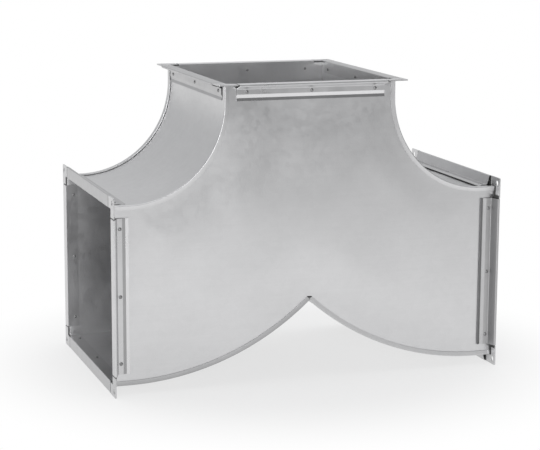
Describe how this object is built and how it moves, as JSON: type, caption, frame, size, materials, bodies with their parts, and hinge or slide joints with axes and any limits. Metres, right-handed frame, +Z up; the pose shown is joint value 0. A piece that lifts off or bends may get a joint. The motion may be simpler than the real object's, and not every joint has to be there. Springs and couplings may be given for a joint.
{
  "type": "rectangular duct branch fitting",
  "caption": "Sheet-steel duct fitting with a neck on top that splits over curved throats and heels into two side branches, each end with a bolted flange frame.",
  "frame": {"origin": "on the surface it stands on, under the middle of the fitting between the two side flanges and between the cheeks", "axes": "+Z up, out of the neck; +X out of the right branch; +Y towards the back cheek"},
  "size_m": [0.7, 0.39, 0.52],
  "materials": {
    "cheek_sheet": "galvanised sheet, faint spangle, satin",
    "wrapper_sheet": "galvanised sheet, faint spangle, satin",
    "rail_steel": "roll-formed galvanised strip, satin",
    "corner_steel": "pressed zinc-plated plate, satin",
    "rivet_steel": "zinc-plated blind rivets"
  },
  "bodies": {
    "root": {"front_cheek": "cheek_sheet", "back_cheek": "cheek_sheet", "left_throat_wrapper": "wrapper_sheet", "right_throat_wrapper": "wrapper_sheet", "left_heel_wrapper": "wrapper_sheet", "right_heel_wrapper": "wrapper_sheet", "left_rail_top": "rail_steel", "left_rail_back": "rail_steel", "left_rail_bottom": "rail_steel", "left_rail_front": "rail_steel", "right_rail_top": "rail_steel", "right_rail_back": "rail_steel", "right_rail_bottom": "rail_steel", "right_rail_front": "rail_steel", "neck_rail_back": "rail_steel", "neck_rail_left": "rail_steel", "neck_rail_front": "rail_steel", "neck_rail_right": "rail_steel", "left_corner_front_top": "corner_steel", "left_corner_back_top": "corner_steel", "left_corner_back_bottom": "corner_steel", "left_corner_front_bottom": "corner_steel", "right_corner_front_top": "corner_steel", "right_corner_back_top": "corner_steel", "right_corner_back_bottom": "corner_steel", "right_corner_front_bottom": "corner_steel", "neck_corner_right_back": "corner_steel", "neck_corner_left_back": "corner_steel", "neck_corner_left_front": "corner_steel", "neck_corner_right_front": "corner_steel", "left_rivets": "rivet_steel", "right_rivets": "rivet_steel", "neck_rivets": "rivet_steel"}
  },
  "joints": []
}
